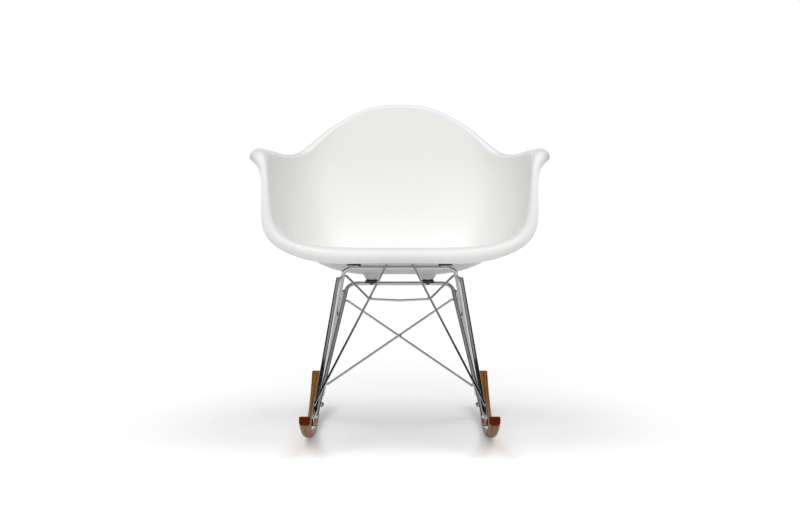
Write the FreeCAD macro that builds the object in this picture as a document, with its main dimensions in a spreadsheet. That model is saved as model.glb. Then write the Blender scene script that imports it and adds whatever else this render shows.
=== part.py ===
# Moulded plastic rocking chair: an armchair shell on a welded wire base with two wooden runners.
# Millimetres. The front faces -Y, Z is up, and left and right (-X and +X) are as seen from the front.
# The origin is on the floor, under the point where the level chair rests on its runners.

import FreeCAD, Part
import math
import os
import Sketcher

V = FreeCAD.Vector
SIDES = ((-1, "left"), (1, "right"))

SIZES = [
    ("wall", 5.0, "thickness of the moulded shell"),
    ("arm_half_width", 283.0, "half width between the arm walls at their widest"),
    ("thick_rod", 9.0, "diameter of the hoops and struts"),
    ("thin_rod", 5.0, "diameter of the bracing rods"),
    ("weld_gap", 0.1, "clearance between two rods at a weld"),
    ("hoop_bend", 25.0, "bend radius of the hoops, on the centre line"),
    ("front_hoop_y", -100.0, "front hoop, top rod"),
    ("front_hoop_z", 372.0, "front hoop, top rod"),
    ("front_hoop_half", 118.5, "front hoop, half width at the top corners"),
    ("rear_hoop_y", 80.0, "rear hoop, top rod"),
    ("rear_hoop_z", 320.0, "rear hoop, top rod"),
    ("front_strut_drop", 25.0, "front strut's top end below the front hoop's top rod"),
    ("rear_strut_drop", 15.0, "rear strut's top end below the rear hoop's top rod"),
    ("front_foot_y", -280.0, "front foot bolt"),
    ("front_foot_rise", 3.0, "front foot bolt above the runner's middle"),
    ("rear_foot_y", 185.0, "rear foot bolt"),
    ("rear_foot_rise", 1.5, "rear foot bolt above the runner's middle"),
    ("rear_leg_reach", 180.5, "half width of the front hoop's legs at their lower ends"),
    ("front_leg_reach", 178.0, "half width of the rear hoop's legs at their lower ends"),
    ("tab_thickness", 3.2, "flattened end of a strut"),
    ("tab_width", 13.0, "flattened end of a strut"),
    ("tab_length", 12.0, "flattened end above its bolt"),
    ("flattening", 16.0, "length over which a strut turns from round to flat"),
    ("strut_top_round", 2.5, "rounding of a strut's top end"),
    ("v_rod_top_half", 29.4, "half distance between the V rods at the top rod"),
    ("v_rod_foot_z", 101.0, "height of a V rod's lower weld"),
    ("cradle_top_z", 353.0, "height of the cradle rod's ends"),
    ("cradle_bend_z", 311.0, "height of the cradle rod's bends, on the V rods"),
    ("cradle_sag", 3.0, "drop of the cradle rod's middle below its bends"),
    ("cradle_bend", 12.0, "bend radius of the cradle rod"),
    ("cross_top_z", 288.0, "height of the cross rods' upper ends"),
    ("cross_foot_z", 82.0, "height of the cross rods' lower ends"),
    ("runner_radius", 872.0, "underside of a runner"),
    ("runner_height", 20.0, "thickness of a runner, top to underside"),
    ("runner_width", 24.0, "runner, side to side"),
    ("runner_half_length", 345.0, "runner, middle to tip, along the floor"),
    ("runner_inner_half", 182.0, "half distance between the runners' inner faces"),
    ("runner_round", 3.5, "rounding of a runner's upper and end edges"),
    ("runner_under_round", 8.5, "rounding of a runner's two long lower edges"),
    ("runner_bolt", 6.0, "foot bolt diameter"),
    ("runner_bolt_head", 10.5, "foot bolt head diameter"),
    ("runner_bolt_head_height", 4.0, "foot bolt head"),
    ("washer_thickness", 1.4, "all washers"),
    ("runner_washer", 12.5, "foot washer outer diameter"),
    ("sleeve", 8.0, "sleeve nut, barrel diameter"),
    ("sleeve_length", 14.0, "sleeve nut, barrel length under its flange"),
    ("sleeve_flange", 14.0, "sleeve nut, flange diameter"),
    ("sleeve_flange_height", 1.5, "sleeve nut, flange"),
    ("sleeve_slot", 1.6, "sleeve nut, width of the driver slot"),
    ("fit", 0.1, "clearance of a pin in its bore, on the radius"),
    ("hole_clearance", 0.3, "clearance of a bolt in a drilled hole, on the radius"),
    ("front_mount_half", 98.0, "half distance between the front mounts"),
    ("rear_mount_half", 62.0, "half distance between the rear mounts"),
    ("mount_offset", 12.0, "mount bolt to the hoop's top rod"),
    ("plate_width", 30.0, "mount plate, side to side"),
    ("plate_thickness", 2.5, "mount plate"),
    ("plate_overhang", 13.0, "mount plate past its bolt"),
    ("pad_thickness", 4.0, "rubber pad"),
    ("pad_radius", 12.5, "rubber pad"),
    ("mount_bolt", 6.0, "mount bolt diameter"),
    ("mount_bolt_head", 11.0, "mount bolt head diameter"),
    ("mount_bolt_head_height", 4.5, "mount bolt head"),
    ("mount_washer", 13.0, "mount washer outer diameter"),
    ("insert_diameter", 9.0, "threaded insert"),
    ("insert_length", 5.0, "threaded insert"),
    ("boss_radius", 13.0, "moulded boss at its lower face"),
    ("boss_flare", 0.62, "growth of a boss's radius per unit of height"),
    ("wall_lean", 23.0, "how much narrower the bucket is at its bottom, on each side"),
    ("front_roll_out", 31.0, "how far the front edge rolls down at the middle"),
    ("corner_roll_extra", 10.0, "how much further it rolls at the lower corners"),
    ("front_roll_up", 27.0, "how far the front roll stands forward at the middle"),
    ("arm_roll_out", 11.0, "how far the front edge rolls out at the arms"),
    ("arm_roll_up", 8.0, "how far the front roll stands forward at the arms"),
    ("ear_sharpness", 16.0, "how suddenly the front edge's roll gives way to the arm's at an ear"),
    ("front_roll_turn", 118.0, "degrees that the front edge turns"),
    ("outline_square", 9.0, "how square the shell's outline is at the ears and the top corners"),
    ("centre_station", 3.2, "station at the middle of the rings"),
]

# Stations from the front lip to the top of the back. Each has a point on the middle line (y, z), a
# point on the edge (inset from the arms' half width, y, z), how square the section between them is,
# how many degrees of it are used, and the roll of the edge: out, up and its turn in degrees.
STATION_COLUMNS = ("middle_y", "middle_z", "edge_inset", "edge_y", "edge_z", "square", "sweep",
                   "roll_out", "roll_up", "roll_turn")
STATIONS = [
    ("lip", -285, 430, 8, -205, 619, 16.0, 90, 38, 16, 190),
    ("apron", -215, 424, 6, -150, 617, 11.0, 90, 40, 16, 190),
    ("thigh", -120, 408, 5, -90, 614, 6.0, 90, 40, 16, 188),
    ("middle", -20, 370, 6, -25, 610, 4.2, 90, 38, 15, 182),
    ("hollow", 70, 342, 11, 40, 607, 3.4, 90, 34, 14, 170),
    ("hip", 150, 378, 21, 100, 600, 2.9, 88, 30, 12, 155),
    ("lumbar", 205, 468, 41, 160, 593, 2.7, 84, 25, 10, 140),
    ("blade", 240, 565, 74, 215, 600, 2.6, 78, 22, 10, 128),
    ("shoulder", 265, 640, 119, 250, 650, 2.4, 66, 18, 10, 120),
    ("crown", 287, 706, 177, 282, 696, 2.1, 52, 14, 10, 115),
]

RING_STEPS = 9
ANGLE_STEPS = 28
ROLL_STEPS = 5
CORNER_CROWDING = 0.6
CORNER_PLACE = 0.75
NARROWEST_REAR = 0.8
SHORTEST_LEG = 0.6
DOME_RISE = 0.45
DOME_FLAT = 0.28
SOCKET_RADIUS = 0.32
SOCKET_DEPTH = 0.5
BOLT_REACH = 0.75
INSERT_REACH = 0.9
SLOT_DEPTH = 0.6
CORNER_PEAK = 6

doc = FreeCAD.newDocument("rocking_chair")
sheet = doc.addObject("Spreadsheet::Sheet", "sizes")


def fill_sheet():
    """Write one row per size: its name, its number under that alias, and what it is."""
    rows = list(SIZES)
    for name, *numbers in STATIONS:
        for column, number in zip(STATION_COLUMNS, numbers):
            rows.append((name + "_" + column, number, "shell station " + name))
    for row, (alias, number, meaning) in enumerate(rows, start=1):
        sheet.set("A%d" % row, alias)
        sheet.set("B%d" % row, str(number))
        sheet.setAlias("B%d" % row, alias)
        sheet.set("C%d" % row, meaning)
    doc.recompute()


def size(alias):
    """The number that the sheet holds under an alias."""
    return float(sheet.get(alias))


def pointing(start, direction):
    """A placement at start whose own Z axis points along direction."""
    return FreeCAD.Placement(start, FreeCAD.Rotation(V(0, 0, 1), direction))


def mirrored(point, side):
    """The point itself on the right (side 1), or its mirror image on the left (side -1)."""
    return V(side * point.x, point.y, point.z)


# Helpers for bodies

def new_body(label):
    body = doc.addObject("PartDesign::Body", label)
    body.Label = label
    return body


def plane_of(body, role):
    return [f for f in body.Origin.OriginFeatures if f.Role == role][0]


def new_sketch(body, role, offset=None):
    """A sketch on one of the body's own planes, moved by offset where one is given."""
    sketch = body.newObject("Sketcher::SketchObject", body.Name + "_sketch")
    sketch.AttachmentSupport = [(plane_of(body, role), "")]
    sketch.MapMode = "FlatFace"
    if offset is not None:
        sketch.AttachmentOffset = offset
    return sketch


def draw_circle(sketch, x, y, diameter):
    """A circle whose diameter is bound to an expression on the sheet."""
    radius = 1.0
    ring = sketch.addGeometry(Part.Circle(V(x, y, 0), V(0, 0, 1), radius), False)
    row = sketch.addConstraint(Sketcher.Constraint("Diameter", ring, 2 * radius))
    sketch.setExpression("Constraints[%d]" % row, diameter)
    return ring


def pad(body, sketch, length, midplane=False, backwards=False):
    feature = body.newObject("PartDesign::Pad", body.Name + "_pad")
    feature.Profile = sketch
    feature.setExpression("Length", length)
    feature.Midplane = midplane
    feature.Reversed = backwards
    return feature


def through_hole(body, sketch):
    """Cut the sketch through the whole body, both ways."""
    feature = body.newObject("PartDesign::Pocket", body.Name + "_hole")
    feature.Profile = sketch
    feature.Type = 1
    feature.Midplane = True
    return feature


def straight_rod(label, start, end, diameter):
    """A round bar between two points, its diameter bound to the sheet."""
    rod = doc.addObject("Part::Cylinder", label)
    rod.Label = label
    rod.setExpression("Radius", diameter + " / 2")
    rod.Height = (end - start).Length
    rod.Placement = pointing(start, end - start)
    return rod


# Places that several pieces share

def runner_middle(y):
    """Height of the runner's middle line at a distance y from the chair's middle."""
    middle_radius = size("runner_radius") - size("runner_height") / 2
    return size("runner_radius") - math.sqrt(middle_radius ** 2 - y ** 2)


def foot_bolt(end):
    """Centre of a foot bolt on the right runner's inner face, at the front or rear end."""
    y = size(end + "_foot_y")
    return V(size("runner_inner_half"), y, runner_middle(y) + size(end + "_foot_rise"))


def line_gap(start_a, along_a, start_b, along_b):
    """Shortest distance between two endless lines."""
    across = along_a.cross(along_b)
    return abs((start_b - start_a).dot(across)) / across.Length


def point_gap(point, start, along):
    """Distance of a point from an endless line."""
    return (point - start).cross(along).Length / along.Length


def solve(low, high, too_low):
    """Halve the interval until it is closed, keeping the side where too_low changes."""
    for _ in range(50):
        middle = (low + high) / 2
        if too_low(middle):
            low = middle
        else:
            high = middle
    return (low + high) / 2


def beside(point, along, other, diameters):
    """Centre of a bar laid on the outer side of another one at a point, touching it."""
    across = along.cross(other).normalize()
    if across.x < 0:
        across = across * -1
    return point + across * (diameters + size("weld_gap"))


class Frame:
    """Axes of the base's thick rods, worked out for the right side."""

    def __init__(self):
        thick = size("thick_rod")
        touch = thick + size("weld_gap")
        self.front_corner = V(size("front_hoop_half"), size("front_hoop_y"), size("front_hoop_z"))
        self.front_bolt = foot_bolt("front")
        self.rear_bolt = foot_bolt("rear")
        self.rear_target = V(size("rear_leg_reach"), self.rear_bolt.y, self.rear_bolt.z)
        self.front_leg = self.rear_target - self.front_corner

        def rear_corner(half):
            return V(half, size("rear_hoop_y"), size("rear_hoop_z"))

        front_target = V(size("front_leg_reach"), self.front_bolt.y, self.front_bolt.z)

        def legs_apart(half):
            corner = rear_corner(half)
            gap = line_gap(self.front_corner, self.front_leg, corner, front_target - corner)
            return gap > touch

        self.rear_corner = rear_corner(solve(NARROWEST_REAR * size("front_hoop_half"),
                                             size("front_hoop_half"), legs_apart))
        self.rear_leg = front_target - self.rear_corner
        tab_middle = V(-size("tab_thickness") / 2, 0, 0)
        self.front_tab = self.front_bolt + tab_middle
        self.rear_tab = self.rear_bolt + tab_middle
        self.front_strut_top = self.strut_top(self.front_corner, self.front_leg,
                                              size("front_strut_drop"), self.front_tab)
        self.rear_strut_top = self.strut_top(self.rear_corner, self.rear_leg,
                                             size("rear_strut_drop"), self.rear_tab)
        self.front_leg_end = self.leg_end(self.front_corner, self.front_leg,
                                          self.rear_strut_top, self.rear_tab)
        self.rear_leg_end = self.leg_end(self.rear_corner, self.rear_leg,
                                         self.front_strut_top, self.front_tab)

    def strut_top(self, corner, leg, drop, tab):
        """Top end of a strut, laid against the outer side of a hoop's leg."""
        on_leg = corner + leg * (drop / -leg.z)
        return beside(on_leg, leg, tab - on_leg, size("thick_rod"))

    def leg_end(self, corner, leg, strut_top, tab):
        """Where a hoop's leg first touches the strut that it is welded to at the foot."""
        strut = tab - strut_top
        touch = size("thick_rod") + size("weld_gap")
        share = solve(SHORTEST_LEG, 1.0, lambda t: point_gap(corner + leg * t, strut_top, strut) > touch)
        return corner + leg * share


# The seat shell

def smooth(values, place):
    """A curve through evenly numbered values, with its slope at each from the two beside it."""
    last = len(values) - 1
    step = min(int(place), last - 1)
    t = place - step
    before = values[step - 1] if step > 0 else 2 * values[0] - values[1]
    after = values[step + 2] if step + 2 <= last else 2 * values[last] - values[last - 1]
    here, there = values[step], values[step + 1]
    slope_here = (there - before) / 2
    slope_there = (after - here) / 2
    return ((2 * t ** 3 - 3 * t ** 2 + 1) * here + (t ** 3 - 2 * t ** 2 + t) * slope_here
            + (3 * t ** 2 - 2 * t ** 3) * there + (t ** 3 - t ** 2) * slope_there)


def squircle(share, square, sweep):
    """Across and rise, each from 0 to 1, on a corner that is round at 2 and squarer above it."""
    def raw(angle):
        sine, cosine = math.sin(angle), max(math.cos(angle), 0.0)
        length = (sine ** square + cosine ** square) ** (1 / square)
        return sine / length, cosine / length
    across_end, up_end = raw(sweep)
    across, up = raw(share * sweep)
    return across / across_end, (1 - up) / (1 - up_end)


class ShellForm:
    """The right half of the shell's upper skin as a grid of points, and skins at a depth under it.

    The grid's rows are rings round a point in the seat, its columns run from the middle of the
    front edge round the arm to the middle of the back's top. The last rings lie on the rolled edge."""

    def __init__(self):
        self.table = {column: [size(name + "_" + column) for name, *_ in STATIONS]
                      for column in STATION_COLUMNS}
        self.last = len(STATIONS) - 1
        self.angles = [self.spread(k / ANGLE_STEPS) for k in range(ANGLE_STEPS + 1)]
        rings = [k / RING_STEPS for k in range(RING_STEPS + 1)]
        rolls = [k / ROLL_STEPS for k in range(1, ROLL_STEPS + 1)]
        self.skin = [[self.bucket(angle, ring) for angle in self.angles] for ring in rings]
        self.skin += [[self.roll(angle, turn) for angle in self.angles] for turn in rolls]

    def spread(self, share):
        """Angle round the grid from -90 to 90 degrees, with more columns near the corners."""
        return math.pi * (share - 0.5 + CORNER_CROWDING * math.sin(4 * math.pi * share)
                          / (4 * math.pi))

    def station(self, column, place):
        return smooth(self.table[column], place)

    def plan(self, angle, ring):
        """A round ring drawn out towards a square as it grows: station place and share across."""
        square = 2 + (size("outline_square") - 2) * ring * ring
        cosine, sine = abs(math.cos(angle)), abs(math.sin(angle))
        length = (cosine ** square + sine ** square) ** (1 / square)
        across, along = ring * cosine / length, ring * math.sin(angle) / length
        bulge = self.last / 2 - size("centre_station")
        return size("centre_station") + self.last / 2 * along + bulge * along * along, across

    def section(self, place, share):
        """Point of the plain bucket on the station's section, share from 0 to 1 across."""
        across, rise = squircle(share, self.station("square", place),
                                math.radians(self.station("sweep", place)))
        middle_y, middle_z = self.station("middle_y", place), self.station("middle_z", place)
        edge_x = size("arm_half_width") - self.station("edge_inset", place)
        edge_x -= size("wall_lean") * (1 - rise)
        return V(edge_x * across,
                 middle_y + (self.station("edge_y", place) - middle_y) * rise,
                 middle_z + (self.station("edge_z", place) - middle_z) * rise), rise

    def bucket(self, angle, ring):
        place, share = self.plan(angle, ring)
        point = self.section(place, share)[0]
        return V(0, point.y, point.z) if abs(abs(angle) - math.pi / 2) < 1e-9 else point

    def roll_sizes(self, angle):
        """Out, up and turn of the rolled edge, mixed between the front edge and the arms' rim."""
        place, share = self.plan(angle, 1)
        rise = self.section(place, share)[1]
        rim = [self.station(column, place) for column in ("roll_out", "roll_up", "roll_turn")]
        middle = [size("front_roll_out"), size("front_roll_up"), size("front_roll_turn")]
        at_arm = [size("arm_roll_out"), size("arm_roll_up"), size("front_roll_turn")]
        if angle >= 0:
            return rim
        sharpness = size("ear_sharpness")
        front = abs(math.sin(angle)) ** sharpness
        front = front / (front + abs(math.cos(angle)) ** sharpness)
        ends = [m + (a - m) * rise for m, a in zip(middle, at_arm)]
        lower_corner = math.sin(math.pi * share ** CORNER_PLACE) ** CORNER_PEAK
        ends[0] += size("corner_roll_extra") * lower_corner
        return [r + (e - r) * front for r, e in zip(rim, ends)]

    def roll(self, angle, turn):
        """Point of the rolled edge, turn from 0 at the bucket's rim to 1 at the free edge."""
        step = 1e-3
        base = self.bucket(angle, 1)
        low, high = angle - step, angle + step
        before = self.bucket(max(low, -math.pi / 2), 1)
        after = self.bucket(min(high, math.pi / 2), 1)
        if low < -math.pi / 2:
            before = mirrored(after, -1)
        if high > math.pi / 2:
            after = mirrored(before, -1)
        rim = (after - before).normalize()
        outwards = base - self.bucket(angle, 1 - step)
        under = rim.cross(outwards).normalize()
        outwards = under.cross(rim).normalize()
        out, up, degrees = self.roll_sizes(angle)
        full = math.radians(degrees)
        point = (base + under * (out * (1 - math.cos(full * turn)) / (1 - math.cos(full)))
                 + outwards * (up * math.sin(full * turn)))
        return V(0, point.y, point.z) if abs(abs(angle) - math.pi / 2) < 1e-9 else point

    def under(self, depth):
        """The grid moved by depth along its own normals, away from the sitter."""
        grid, last_row, last = self.skin, len(self.skin) - 1, len(self.angles) - 1
        moved = []
        for i, row in enumerate(grid):
            moved.append([])
            for j, here in enumerate(row):
                before = row[j - 1] if j > 0 else mirrored(row[1], -1)
                after = row[j + 1] if j < last else mirrored(row[last - 1], -1)
                outer, inner = grid[min(i + 1, last_row)][j], grid[max(i - 1, 0)][j]
                round_ring, outwards = after - before, outer - inner
                if i == 0:
                    round_ring = V(1, 0, 0)
                    outwards = grid[1][0] - grid[1][last]
                normal = round_ring.cross(outwards).normalize()
                if i == 0:
                    normal = normal * math.copysign(1, -normal.z)
                point = here + normal * depth
                moved[-1].append(V(0, point.y, point.z) if j in (0, last) else point)
        return moved


def clamped_knots(count):
    """Even knots, and how often each counts, for a cubic curve that ends on its end points."""
    spans = count - 3
    return [4] + [1] * (spans - 1) + [4], list(range(spans + 1))


def skin_face(grid):
    """A cubic surface drawn towards the grid's points.

    The columns beside the middle line take its height, so that the two halves join smoothly."""
    poles = [[V(p) for p in row] for row in grid]
    for row in poles:
        row[1] = V(row[1].x, row[0].y, row[0].z)
        row[-2] = V(row[-2].x, row[-1].y, row[-1].z)
    row_counts, row_knots = clamped_knots(len(poles))
    column_counts, column_knots = clamped_knots(len(poles[0]))
    surface = Part.BSplineSurface()
    surface.buildFromPolesMultsKnots(poles, row_counts, column_counts, row_knots, column_knots,
                                     False, False, 3, 3)
    return surface.toShape()


def half_and_twin(face):
    """A face of the right half and its mirror image."""
    return [face, face.mirror(V(0, 0, 0), V(1, 0, 0))]


def skin_faces(grid):
    """The bucket's face and the rolled edge's face, which meet along the bucket's rim."""
    return skin_face(grid[:RING_STEPS + 1]), skin_face(grid[RING_STEPS:])


def plain_shell(form):
    upper, upper_roll = skin_faces(form.skin)
    lower, lower_roll = skin_faces(form.under(size("wall")))
    free_edges = [face.Surface.uIso(face.Surface.bounds()[1]).toShape()
                  for face in (upper_roll, lower_roll)]
    rim = Part.makeRuledSurface(*free_edges)
    halves = [upper, upper_roll, lower, lower_roll, rim]
    skins = Part.Compound([face for half in halves for face in half_and_twin(half)])
    skins.sewShape()
    solid = Part.Solid(skins.Shells[0])
    if solid.Volume < 0:
        solid.reverse()
    return solid


class Mount:
    """One of the four places where the shell is bolted to a hoop."""

    def __init__(self, label, x, rod_y, rod_z, forward):
        self.label = label
        self.rod = V(x, rod_y, rod_z)
        self.forward = forward
        self.plate_z = rod_z + size("thick_rod") / 2 + size("weld_gap")
        self.bolt = V(x, rod_y + forward * size("mount_offset"), self.plate_z)
        self.pad_z = self.plate_z + size("plate_thickness")
        self.boss_z = self.pad_z + size("pad_thickness")


def mounts():
    found = []
    for side, side_name in SIDES:
        found.append(Mount("front_" + side_name, side * size("front_mount_half"),
                           size("front_hoop_y"), size("front_hoop_z"), 1))
        found.append(Mount("rear_" + side_name, side * size("rear_mount_half"),
                           size("rear_hoop_y"), size("rear_hoop_z"), -1))
    return found


def seat_shell(form, places):
    """The moulding, with a flared boss over each mount and a blind bore for its insert."""
    shell = plain_shell(form)
    middle_skin = skin_faces(form.under(size("wall") / 2))[0]
    height = size("front_hoop_z") - size("rear_hoop_z")
    above = Part.Compound([half.extrude(V(0, 0, 4 * height)) for half in half_and_twin(middle_skin)])
    for mount in places:
        base = V(mount.bolt.x, mount.bolt.y, mount.boss_z)
        top_radius = size("boss_radius") + height * size("boss_flare")
        cone = Part.makeCone(size("boss_radius"), top_radius, height, base)
        boss = cone.cut(above)
        boss = [s for s in boss.Solids if s.isInside(base + V(0, 0, 0.5), 0.01, True)][0]
        shell = shell.fuse(boss)
        bore = Part.makeCylinder(size("insert_diameter") / 2 + size("fit"),
                                 size("insert_length") + size("fit"), base)
        shell = shell.cut(bore)
    feature = doc.addObject("Part::Feature", "seat_shell")
    feature.Label = "seat_shell"
    feature.Shape = shell.Solids[0]
    return feature


# The wire base

def hoop(label, corner, leg, end):
    """Half a bent rod, from the middle of its top to a foot, swept along arcs and lines, and its mirror.

    The sketch lies in the sloping plane that holds the top rod and both legs."""
    body = new_body(label)
    slope = V(0, leg.y, leg.z).normalize()
    bend = size("hoop_bend")
    foot_x = end.x
    foot_drop = (V(0, end.y, end.z) - V(0, corner.y, corner.z)).dot(slope)
    lean = math.atan2(foot_drop, foot_x - corner.x)
    tangent = bend * math.tan(lean / 2)
    path = new_sketch(body, "XY_Plane")
    start = V(0, 0, 0)
    bend_start = V(corner.x - tangent, 0, 0)
    bend_end = V(corner.x + tangent * math.cos(lean), -tangent * math.sin(lean), 0)
    centre = V(bend_start.x, -bend, 0)
    middle_angle = math.pi / 2 - lean / 2
    bend_middle = centre + V(math.cos(middle_angle), math.sin(middle_angle), 0) * bend
    foot = V(foot_x, -foot_drop, 0)
    path.addGeometry(Part.LineSegment(start, bend_start), False)
    path.addGeometry(Part.Arc(bend_start, bend_middle, bend_end), False)
    path.addGeometry(Part.LineSegment(bend_end, foot), False)
    ring = new_sketch(body, "YZ_Plane")
    draw_circle(ring, 0, 0, "sizes.thick_rod")
    doc.recompute()
    pipe = body.newObject("PartDesign::AdditivePipe", label + "_pipe")
    pipe.Profile = ring
    pipe.Spine = path
    doc.recompute()
    twin = body.newObject("PartDesign::Mirrored", label + "_twin")
    twin.Originals = [pipe]
    twin.MirrorPlane = (plane_of(body, "YZ_Plane"), [""])
    body.Tip = twin
    tilt = FreeCAD.Rotation(V(0, 1, 0), slope * -1)
    body.Placement = FreeCAD.Placement(V(0, corner.y, corner.z), tilt)
    return body


def strut(label, side, top, tab, bolt):
    """A thick rod with a rounded top, flattened at the foot into a tab with a bolt hole."""
    body = new_body(label)
    top, tab, bolt = mirrored(top, side), mirrored(tab, side), mirrored(bolt, side)
    down = (tab - top).normalize()
    share = (size("tab_length") + size("flattening")) / abs(down.z)
    round_end = tab - down * share
    ring = new_sketch(body, "XY_Plane", pointing(round_end, down))
    draw_circle(ring, 0, 0, "sizes.thick_rod")
    rod = pad(body, ring, "%.6f mm" % (round_end - top).Length, backwards=True)
    doc.recompute()
    top_edge = min(range(len(rod.Shape.Edges)),
                   key=lambda k: (rod.Shape.Edges[k].CenterOfMass - top).Length)
    rounding = body.newObject("PartDesign::Fillet", label + "_top")
    rounding.Base = (rod, ["Edge%d" % (top_edge + 1)])
    rounding.setExpression("Radius", "sizes.strut_top_round")
    doc.recompute()
    flat = V(0, down.y, down.z).normalize()
    tab_top = tab - flat * size("tab_length")
    oval = new_sketch(body, "XY_Plane", FreeCAD.Placement(tab_top, upright_to(flat)))
    oval.addGeometry(Part.Ellipse(V(0, size("tab_width") / 2, 0),
                                  V(size("tab_thickness") / 2, 0, 0), V(0, 0, 0)), False)
    circle = new_sketch(body, "XY_Plane", FreeCAD.Placement(round_end, upright_to(down)))
    circle.addGeometry(Part.Circle(V(0, 0, 0), V(0, 0, 1), size("thick_rod") / 2), False)
    doc.recompute()
    taper = body.newObject("PartDesign::AdditiveLoft", label + "_taper")
    taper.Profile = circle
    taper.Sections = [oval]
    doc.recompute()
    face_x = -size("tab_thickness") if side > 0 else 0
    outline = new_sketch(body, "YZ_Plane", FreeCAD.Placement(V(0, 0, bolt.x + face_x),
                                                             FreeCAD.Rotation()))
    half = size("tab_width") / 2
    along = V(flat.y, flat.z, 0)
    sideways = V(-along.y, along.x, 0)
    middle = V(bolt.y, bolt.z, 0)
    shoulder = middle - along * size("tab_length")
    left, right = shoulder - sideways * half, shoulder + sideways * half
    left_low, right_low = middle - sideways * half, middle + sideways * half
    outline.addGeometry(Part.LineSegment(left, left_low), False)
    outline.addGeometry(Part.Arc(left_low, middle + along * half, right_low), False)
    outline.addGeometry(Part.LineSegment(right_low, right), False)
    outline.addGeometry(Part.LineSegment(right, left), False)
    doc.recompute()
    pad(body, outline, "sizes.tab_thickness")
    doc.recompute()
    hole = new_sketch(body, "YZ_Plane", FreeCAD.Placement(V(0, 0, bolt.x), FreeCAD.Rotation()))
    draw_circle(hole, bolt.y, bolt.z, "sizes.runner_bolt + 2 * sizes.hole_clearance")
    doc.recompute()
    through_hole(body, hole)
    doc.recompute()
    return body


def upright_to(direction):
    """Rotation whose Z axis is the direction and whose X axis stays as near to global X as it can."""
    return FreeCAD.Rotation(V(1, 0, 0), V(0, 0, 0), direction, "ZXY")


def bent_rod(label, points, bend, diameter):
    """A rod swept along straight runs joined by arcs of one bend radius."""
    edges = []
    start = points[0]
    for before, corner, after in zip(points, points[1:], points[2:]):
        into, away = (corner - before).normalize(), (after - corner).normalize()
        half_turn = into.getAngle(away) / 2
        cut = bend * math.tan(half_turn)
        bend_start, bend_end = corner - into * cut, corner + away * cut
        towards = (away - into).normalize()
        centre = corner + towards * (bend / math.cos(half_turn))
        edges.append(Part.LineSegment(start, bend_start).toShape())
        edges.append(Part.Arc(bend_start, centre - towards * bend, bend_end).toShape())
        start = bend_end
    edges.append(Part.LineSegment(start, points[-1]).toShape())
    path = doc.addObject("Part::Feature", label + "_path")
    path.Shape = Part.Wire(edges)
    ring = doc.addObject("Part::Circle", label + "_ring")
    ring.setExpression("Radius", diameter + " / 2")
    ring.Placement = pointing(points[0], points[1] - points[0])
    sweep = doc.addObject("Part::Sweep", label)
    sweep.Label = label
    sweep.Sections = [ring]
    sweep.Spine = (path, ["Edge%d" % (k + 1) for k in range(len(edges))])
    sweep.Solid = True
    sweep.Frenet = True
    return sweep


# Runners and fasteners

def runner(label, side, bolts):
    """A band of wood between two arcs about one centre, rounded, bored for its two sleeve nuts."""
    body = new_body(label)
    band = new_sketch(body, "YZ_Plane")
    under, over = size("runner_radius"), size("runner_radius") - size("runner_height")
    half_angle = math.asin(size("runner_half_length") / under)
    centre = V(0, under, 0)

    def on_arc(radius, angle):
        return centre + V(radius * math.sin(angle), -radius * math.cos(angle), 0)

    band.addGeometry(Part.Arc(on_arc(under, -half_angle), on_arc(under, 0),
                              on_arc(under, half_angle)), False)
    band.addGeometry(Part.LineSegment(on_arc(under, half_angle), on_arc(over, half_angle)), False)
    band.addGeometry(Part.Arc(on_arc(over, half_angle), on_arc(over, 0),
                              on_arc(over, -half_angle)), False)
    band.addGeometry(Part.LineSegment(on_arc(over, -half_angle), on_arc(under, -half_angle)), False)
    doc.recompute()
    bar = pad(body, band, "sizes.runner_width", midplane=True)
    doc.recompute()
    pivot = V(0, 0, under)
    low = ["Edge%d" % (k + 1) for k, edge in enumerate(bar.Shape.Edges)
           if all(point.Point.distanceToLine(pivot, V(1, 0, 0)) > under - 1 for point in edge.Vertexes)
           and edge.Length > size("runner_half_length")]
    belly = body.newObject("PartDesign::Fillet", label + "_belly")
    belly.Base = (bar, low)
    belly.setExpression("Radius", "sizes.runner_under_round")
    doc.recompute()
    sharp = ["Edge%d" % (k + 1) for k, edge in enumerate(belly.Shape.Edges)
             if edge.Length < size("runner_half_length")
             or all(point.Point.distanceToLine(pivot, V(1, 0, 0)) < over + 1 for point in edge.Vertexes)]
    rounding = body.newObject("PartDesign::Fillet", label + "_rounding")
    rounding.Base = (belly, sharp)
    rounding.setExpression("Radius", "sizes.runner_round")
    doc.recompute()
    outer = size("runner_width") / 2
    for bolt in bolts:
        bore = new_sketch(body, "YZ_Plane")
        draw_circle(bore, bolt.y, bolt.z, "sizes.sleeve + 2 * sizes.fit")
        doc.recompute()
        through_hole(body, bore)
        seat = new_sketch(body, "YZ_Plane", FreeCAD.Placement(V(0, 0, side * outer),
                                                              FreeCAD.Rotation()))
        draw_circle(seat, bolt.y, bolt.z, "sizes.sleeve_flange + 2 * sizes.fit")
        doc.recompute()
        counterbore = body.newObject("PartDesign::Pocket", label + "_seat")
        counterbore.Profile = seat
        counterbore.setExpression("Length", "sizes.sleeve_flange_height + sizes.fit")
        counterbore.Reversed = side < 0
        doc.recompute()
    body.Placement = FreeCAD.Placement(V(side * (size("runner_inner_half") + outer), 0, 0),
                                       FreeCAD.Rotation())
    return body


def cylinder(radius, height, base, direction):
    return Part.makeCylinder(radius, height, base, direction)


def group(label, shapes):
    feature = doc.addObject("Part::Feature", label)
    feature.Label = label
    feature.Shape = Part.Compound(shapes)
    return feature


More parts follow.
